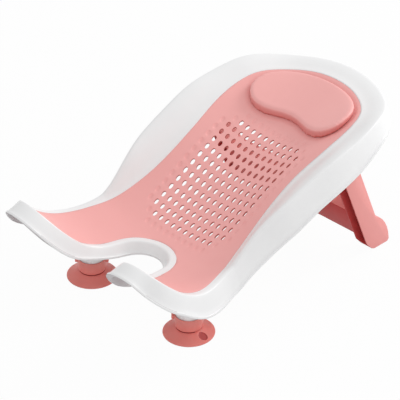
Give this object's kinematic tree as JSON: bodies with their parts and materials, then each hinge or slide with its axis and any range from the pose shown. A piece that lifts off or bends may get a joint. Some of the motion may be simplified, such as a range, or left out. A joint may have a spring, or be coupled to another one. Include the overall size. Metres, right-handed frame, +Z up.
{
  "type": "baby bath seat",
  "caption": "Reclined baby bathing cradle with a perforated liner, a bean-shaped headrest, suction cups under the front lobes and a folding rear leg.",
  "frame": {"origin": "on the floor, half way between the two suction cups", "axes": "+X to the right as seen from the feet, +Y from the feet to the head, +Z up"},
  "size_m": [0.3156, 0.5683, 0.2102],
  "materials": {
    "frame": "satin white moulding",
    "liner": "soft pink moulding",
    "headrest": "soft pink foamed skin",
    "suction_cup": "soft deep pink",
    "bearing": "white moulding",
    "leg": "deep pink moulding"
  },
  "bodies": {
    "cradle": {"frame": "frame", "liner": "liner", "headrest": "headrest", "cup_left": "suction_cup", "cup_right": "suction_cup", "bearing_left": "bearing", "bearing_right": "bearing"},
    "folding_leg": {"leg": "leg"}
  },
  "joints": [
    {"name": "leg_fold", "type": "hinge", "parent": "cradle", "child": "folding_leg", "pos_m": [0, 0.2725, 0.16605], "axis": [-1, 0, 0], "range_deg": [0, 72]}
  ]
}
